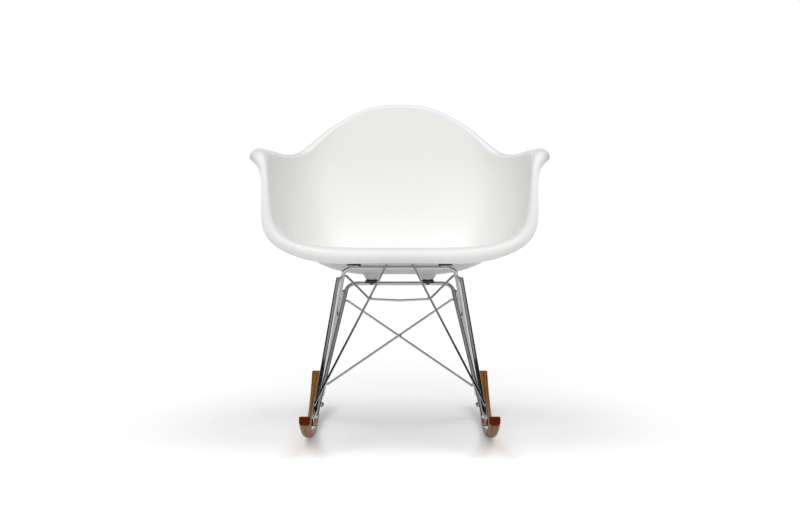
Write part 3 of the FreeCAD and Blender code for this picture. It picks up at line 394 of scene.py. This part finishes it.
def seam(start, end, radius, ripple, pitch=0.0022, rings=50, steps=12):
    """A run of weld: a round bead along a straight line, swelling once every pitch as each drop of
    metal froze over the last, and closing at both ends as a half circle does. Its rings stand closer
    towards the ends, as points spaced evenly on a half circle do when seen from its side."""
    first_ring = 0.06
    along = unit(end - start)
    length = np.linalg.norm(end - start)
    spaced = 0.5 - 0.5 * np.cos(np.linspace(first_ring, np.pi - first_ring, rings))
    place = np.concatenate([[0.0], spaced, [1.0]]) * length
    past = np.maximum(np.abs(place - length / 2) - length / 2 + radius, 0)
    taper = np.sqrt(np.clip(1 - (past / radius) ** 2, 0, 1))
    taper[[0, -1]] = 0
    swell = radius * taper * (1 + 3 * ripple * np.abs(np.sin(np.pi * place / pitch)))
    across = unit(np.cross(along, (0.0, 0.3, 1.0)))
    up = np.cross(across, along)
    turn = np.linspace(0, 2 * np.pi, steps, endpoint=False)
    ring = np.cos(turn)[:, None] * across + np.sin(turn)[:, None] * up
    return start + place[:, None, None] * along + swell[:, None, None] * ring


def finish_piece(piece, material):
    """Gives a new piece its material and its slot, and lets it ride on the chair's one body."""
    piece.data.materials.append(material)
    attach(piece, "root")


class CHAIR_OT_shell(bpy.types.Operator):
    """Finish the seat shell"""
    bl_idname = "chair.shell"
    bl_label = "Seat shell"

    def execute(self, context):
        dress(["seat_shell"], polypropylene(settings_of(context).shell))
        return {"FINISHED"}


class CHAIR_OT_rods(bpy.types.Operator):
    """Finish the rods and lay the welds that join them"""
    bl_idname = "chair.rods"
    bl_label = "Wire base"

    def execute(self, context):
        settings = settings_of(context).rods
        plate = chrome(settings)
        dress(THICK_RODS + THIN_RODS, plate)

        ripple = settings.ripple
        strut_bead, brace_bead, crossing_bead = (share * rod for share, rod in (
            (0.4, settings.thick), (0.5, settings.thin), (0.45, settings.thin)))
        thick_welds, thin_welds = [], []
        for sign, name in zip((-1, 1), SIDES):
            for strut, hoop in (("front_strut", "front_hoop"), ("rear_strut", "rear_hoop"),
                                ("front_strut", "rear_hoop"), ("rear_strut", "front_hoop")):
                thick_welds.append(weld(f"{name}_{strut}", hoop, sign, strut_bead, ripple))
            for rod, other in (("v_rod", "front_hoop"), ("v_rod", f"{name}_front_strut"),
                               ("v_rod", "cradle_rod"), ("cross_rod", "rear_hoop")):
                thin_welds.append(weld(f"{name}_{rod}", other, sign, brace_bead, ripple))
            thin_welds.append(weld(f"{name}_cross_rod", "front_hoop", -sign, brace_bead, ripple))
            thin_welds.append(weld("cradle_rod", "front_hoop", sign, brace_bead, ripple))
        thin_welds.append(weld("left_cross_rod", "right_cross_rod", 0, crossing_bead, ripple))
        finish_piece(closed_grids("strut_welds", thick_welds), plate)
        finish_piece(closed_grids("brace_welds", thin_welds), plate)

        seams = []
        inset, drop, seam_bead, beside = 0.004, 0.0007, 0.0014, 0.31 * settings.thick
        for name in PLATES:
            low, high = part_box(name)
            bar = FRONT_BAR if name.startswith("front") else REAR_BAR
            for shift in (-beside, beside):
                start = np.array([low[0] + inset, bar + shift, low[2] - drop])
                end = np.array([high[0] - inset, bar + shift, low[2] - drop])
                seams.append(seam(start, end, seam_bead, ripple))
        finish_piece(closed_grids("plate_welds", seams), plate)
        return {"FINISHED"}


class CHAIR_OT_runners(bpy.types.Operator):
    """Finish the wooden runners"""
    bl_idname = "chair.runners"
    bl_label = "Runners"

    def execute(self, context):
        dress(RUNNERS, varnished_wood(settings_of(context).runners))
        return {"FINISHED"}


class CHAIR_OT_hardware(bpy.types.Operator):
    """Finish the plates, pads, bolts and washers"""
    bl_idname = "chair.hardware"
    bl_label = "Hardware"

    def execute(self, context):
        settings = settings_of(context).hardware
        dress(PLATES + ("mount_bolts", "mount_washers"),
              worked_metal("blackened_steel", settings.steel, 0.3, 0.004, 0.35))
        dress(("runner_bolts", "runner_washers", "sleeve_nuts"),
              worked_metal("zinc_plated_steel", settings.zinc, 0.22, 0.002, 0.18))
        dress(("threaded_inserts",), worked_metal("turned_brass", settings.brass, 0.25, 0.001, 0.2))
        dress(PADS, moulded_rubber(settings))
        return {"FINISHED"}


def studio_dome(radius=6.5, step=4, top=68, low_band=28, half_width=38):
    """The dark sides and ceiling of the studio, which only reflections see. It is part of a ball: each
    point is the radius times the direction of an azimuth and an elevation, a step of degrees apart. It
    ends at the top, where the broad lamps hang. In the low band it is left out at the back, for the
    backdrop, and grey at the front, each as far as half the width either side."""
    azimuth = np.radians(np.arange(0, 361, step))
    height = np.radians(np.arange(0, top + 1, step))
    turn, lift = np.meshgrid(azimuth, height)
    points = radius * np.stack([np.cos(lift) * np.sin(turn), np.cos(lift) * np.cos(turn),
                                np.sin(lift)], -1)
    numbers = np.arange(turn.size).reshape(turn.shape)
    quads = np.stack([numbers[:-1, :-1], numbers[:-1, 1:], numbers[1:, 1:], numbers[1:, :-1]], -1)
    middle_turn = turn[:-1, :-1] + math.radians(step / 2)
    middle_lift = lift[:-1, :-1] + math.radians(step / 2)
    low = middle_lift < math.radians(low_band)
    front = low & (np.cos(middle_turn) < -math.cos(math.radians(half_width)))
    back = low & (np.cos(middle_turn) > math.cos(math.radians(half_width)))
    mesh = bpy.data.meshes.new("studio_dome")
    mesh.from_pydata(points.reshape(-1, 3).tolist(), [], quads[~back].tolist())
    dome = bpy.data.objects.new("studio_dome", mesh)
    bpy.context.scene.collection.objects.link(dome)
    for name, glow in (("black_studio_cloth", 0.01), ("grey_studio_front", 0.36)):
        material, tree = new_material(name)
        cloth = add_node(tree, "ShaderNodeEmission", Color=WHITE, Strength=glow)
        add_node(tree, "ShaderNodeOutputMaterial", Surface=cloth)
        mesh.materials.append(material)
    mesh.polygons.foreach_set("material_index", front[~back].astype(int).tolist())
    for ray in ("camera", "diffuse", "shadow", "transmission", "volume_scatter"):
        setattr(dome, "visible_" + ray, False)


def floor_paper(settings, reach=40.0):
    """A wide level sheet. The eye and mirrors see it lifted to paper white, with the chair's shadow on
    it, and it lights the chair by a darker grey."""
    mesh = bpy.data.meshes.new("floor")
    corners = [(-reach, -reach, 0), (reach, -reach, 0), (reach, reach, 0), (-reach, reach, 0)]
    mesh.from_pydata(corners, [], [(0, 1, 2, 3)])
    floor = bpy.data.objects.new("floor", mesh)
    bpy.context.scene.collection.objects.link(floor)
    material, tree = new_material("matte_floor_paper")
    path = add_node(tree, "ShaderNodeLightPath")
    seen = add_node(tree, "ShaderNodeMath", {"operation": "MAXIMUM"},
                    _0=path.outputs["Is Camera Ray"], _1=path.outputs["Is Glossy Ray"])
    paper = add_node(tree, "ShaderNodeBsdfDiffuse", Color=settings.floor_colour[:])
    bounce = add_node(tree, "ShaderNodeBsdfDiffuse", Color=settings.floor_bounce[:])
    glow = add_node(tree, "ShaderNodeEmission", Color=WHITE, Strength=settings.floor_glow)
    lifted = add_node(tree, "ShaderNodeAddShader", _0=paper, _1=glow)
    mixed = add_node(tree, "ShaderNodeMixShader", _0=seen, _1=bounce, _2=lifted)
    add_node(tree, "ShaderNodeOutputMaterial", Surface=mixed)
    mesh.materials.append(material)


def backdrop(scene, settings):
    """White to the eye, in mirrors and through clear things; a weak even light to all else."""
    world = bpy.data.worlds.new("studio")
    scene.world = world
    world.use_nodes = True
    tree = world.node_tree
    tree.nodes.clear()
    path = add_node(tree, "ShaderNodeLightPath")
    seen = add_node(tree, "ShaderNodeMath", {"operation": "MAXIMUM"},
                    _0=path.outputs["Is Camera Ray"], _1=path.outputs["Is Glossy Ray"])
    seen = add_node(tree, "ShaderNodeMath", {"operation": "MAXIMUM"}, _0=seen,
                    _1=path.outputs["Is Transmission Ray"])
    ambient = add_node(tree, "ShaderNodeBackground", Color=WHITE, Strength=settings.ambient)
    white = add_node(tree, "ShaderNodeBackground", Color=WHITE, Strength=1.0)
    mixed = add_node(tree, "ShaderNodeMixShader", _0=seen, _1=ambient, _2=white)
    add_node(tree, "ShaderNodeOutputWorld", Surface=mixed)


def hang_lamps(scene, settings):
    """Two broad lamps overhead, one either side, and a broad one at the front that mirrors don't see.
    Each has its strength, the angle it spans in degrees, and the direction it shines from."""
    away = 4.0
    lamps = (("left_overhead_lamp", settings.key, 34, (-0.42, -0.22, 1.0)),
             ("right_overhead_lamp", settings.key, 34, (0.38, -0.22, 1.0)),
             ("front_lamp", settings.fill, 50, (-0.05, -0.83, 0.55)))
    for name, strength, spread, direction in lamps:
        data = bpy.data.lights.new(name, "SUN")
        data.energy = strength
        data.angle = math.radians(spread)
        lamp = bpy.data.objects.new(name, data)
        lamp.visible_glossy = name != "front_lamp"
        lamp.location = Vector(direction) * away
        lamp.rotation_euler = Vector(direction).to_track_quat("Z", "Y").to_euler()
        scene.collection.objects.link(lamp)


def aim_camera(scene, settings):
    """A long lens far in front of the chair and just over its top, a hair aside, looking a little down."""
    aside = 0.0006
    data = bpy.data.cameras.new("camera")
    data.sensor_width = 36.0
    data.lens = settings.lens
    camera = bpy.data.objects.new("camera", data)
    camera.location = (aside, -settings.camera_distance, settings.camera_height)
    camera.rotation_euler = (math.radians(90) - settings.camera_pitch, 0.0, 0.0)
    scene.collection.objects.link(camera)
    scene.camera = camera


class CHAIR_OT_stage(bpy.types.Operator):
    """Make the floor, lamps and camera"""
    bl_idname = "chair.stage"
    bl_label = "Stage"

    def execute(self, context):
        settings = settings_of(context).stage
        context.scene.view_settings.view_transform = "Standard"
        floor_paper(settings)
        studio_dome()
        backdrop(context.scene, settings)
        hang_lamps(context.scene, settings)
        aim_camera(context.scene, settings)
        return {"FINISHED"}


class CHAIR_PT_panel(bpy.types.Panel):
    """Lists the pieces of the chair"""
    bl_idname = "CHAIR_PT_panel"
    bl_label = "Rocking chair"
    bl_space_type = "VIEW_3D"
    bl_region_type = "UI"
    bl_category = "Rocking chair"

    def draw(self, context):
        for operator in OPERATORS:
            self.layout.operator(operator.bl_idname)


OPERATORS = (CHAIR_OT_shell, CHAIR_OT_rods, CHAIR_OT_runners, CHAIR_OT_hardware, CHAIR_OT_stage)
CLASSES = (ShellSettings, RodSettings, RunnerSettings, HardwareSettings, StageSettings,
           ChairSettings) + OPERATORS + (CHAIR_PT_panel,)


def register():
    for one in CLASSES:
        bpy.utils.register_class(one)
    bpy.types.Scene.rocking_chair = PointerProperty(type=ChairSettings)


def unregister():
    del bpy.types.Scene.rocking_chair
    for one in reversed(CLASSES):
        bpy.utils.unregister_class(one)


def main():
    register()
    bpy.ops.chair.shell()
    bpy.ops.chair.rods()
    bpy.ops.chair.runners()
    bpy.ops.chair.hardware()
    bpy.ops.chair.stage()


if __name__ == "__main__":
    main()
